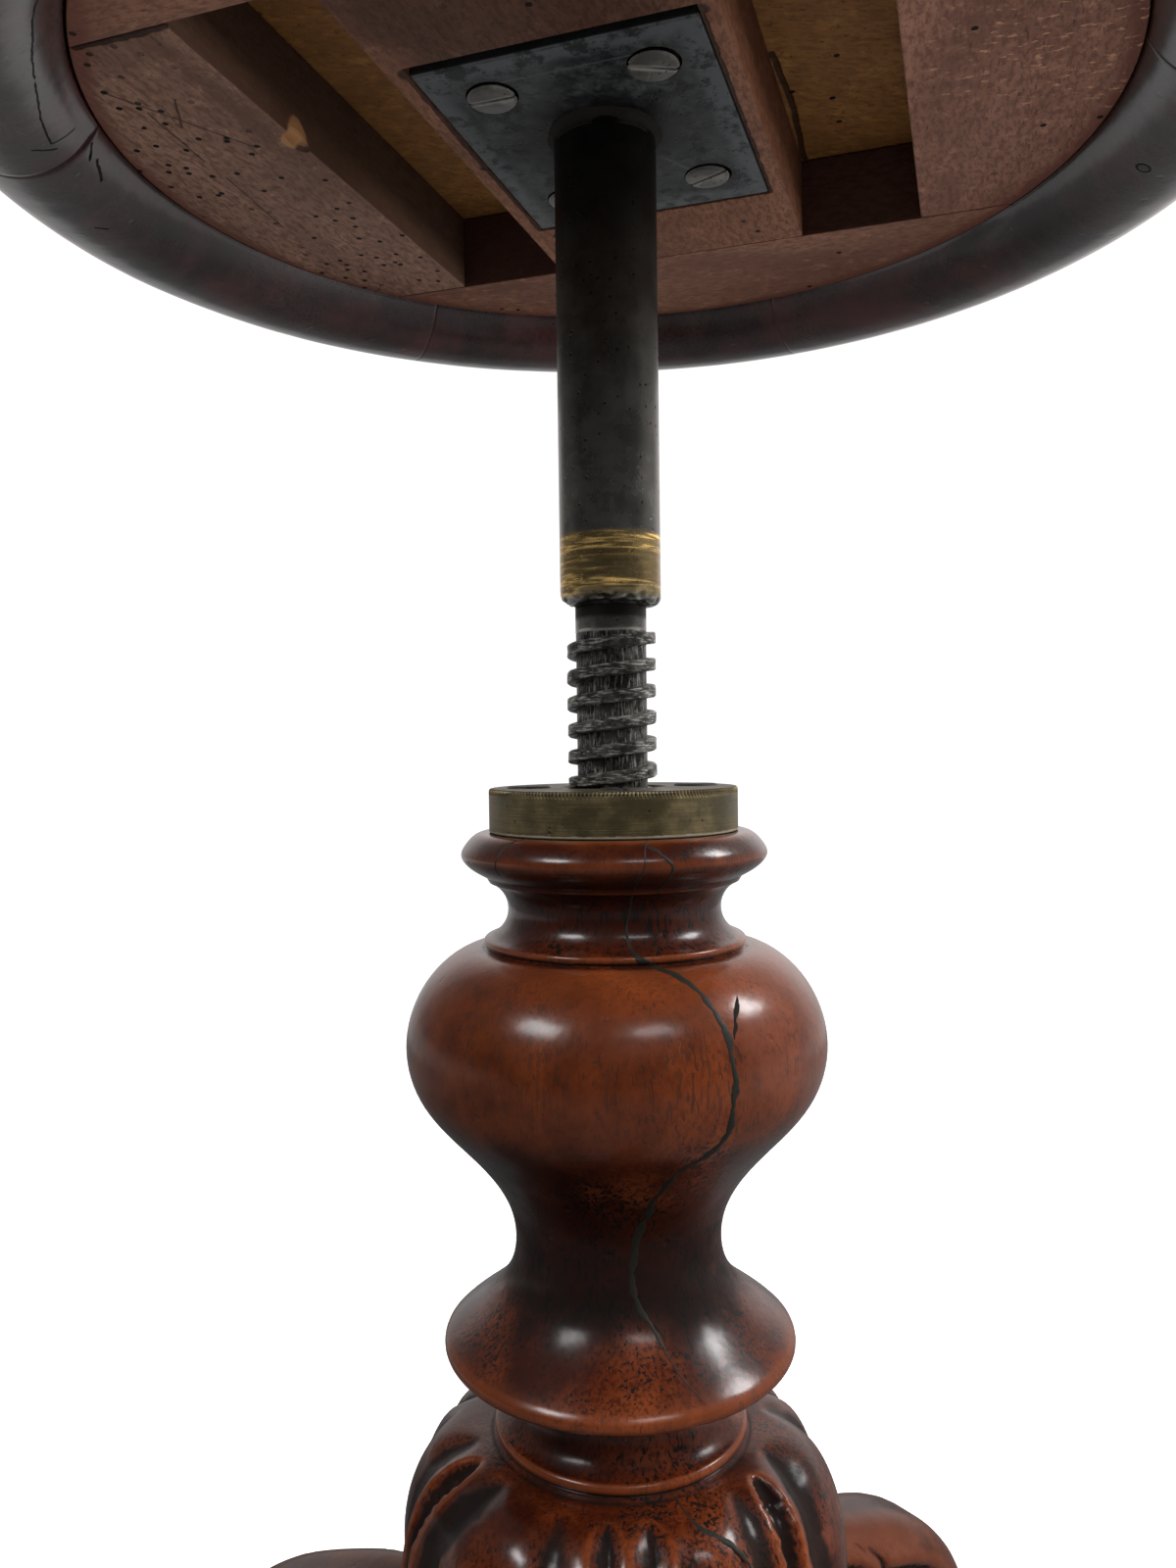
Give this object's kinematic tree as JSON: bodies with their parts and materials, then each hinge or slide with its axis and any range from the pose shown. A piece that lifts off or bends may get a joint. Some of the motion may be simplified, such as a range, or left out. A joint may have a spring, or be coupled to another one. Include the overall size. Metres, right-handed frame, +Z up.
{
  "type": "revolving piano stool",
  "caption": "Round upholstered seat that rises and falls on a steel screw in a turned mahogany column with scroll legs.",
  "frame": {"origin": "on the floor, on the axis of the column", "axes": "+Z up; leg_1 points along -Y"},
  "size_m": [0.364, 0.378, 0.628],
  "materials": {
    "mahogany": "French-polished red-brown mahogany, glossy",
    "rim_mahogany": "dark polished mahogany, satin",
    "frame_wood": "stained secondary wood, matt",
    "board_wood": "golden-brown bare board, matt",
    "iron": "dark blue-grey wrought iron, matt",
    "spindle_steel": "dark gunmetal steel with worn bright edges",
    "screw_steel": "dull grey slotted screws",
    "brass": "aged olive-brown turned brass",
    "seat_leather": "dark red-brown leather",
    "gimp_braid": "woven braid"
  },
  "bodies": {
    "base": {"column": "mahogany", "collar_nut": "brass", "collar_screws": "screw_steel", "leg_1": "mahogany", "leg_2": "mahogany", "leg_3": "mahogany", "base_strap": "iron", "strap_screws": "screw_steel"},
    "stop": {"stop_washer": "iron"},
    "seat": {"spindle": "spindle_steel", "stop_screw": "screw_steel", "spindle_plate": "iron", "plate_screws": "screw_steel", "cross_rail": "frame_wood", "frame_side_left": "frame_wood", "frame_side_right": "frame_wood", "frame_end_far": "frame_wood", "frame_end_near": "frame_wood", "seat_board": "board_wood", "rim_segment_1": "rim_mahogany", "rim_segment_2": "rim_mahogany", "rim_segment_3": "rim_mahogany", "rim_segment_4": "rim_mahogany", "rim_segment_5": "rim_mahogany", "seat_pad": "seat_leather", "seat_gimp": "gimp_braid"}
  },
  "joints": [
    {"name": "rise", "type": "slide", "parent": "base", "child": "stop", "axis": [0, 0, 1], "range_m": [-0.0706, 0.0226]},
    {"name": "spin", "type": "hinge", "parent": "stop", "child": "seat", "pos_m": [0, 0, 0.45], "axis": [0, 0, 1], "range_deg": [-3384, 1080]}
  ],
  "couplings": [
    {"joint": "rise", "follows": "spin", "m_per_rad": 0.0011937}
  ]
}
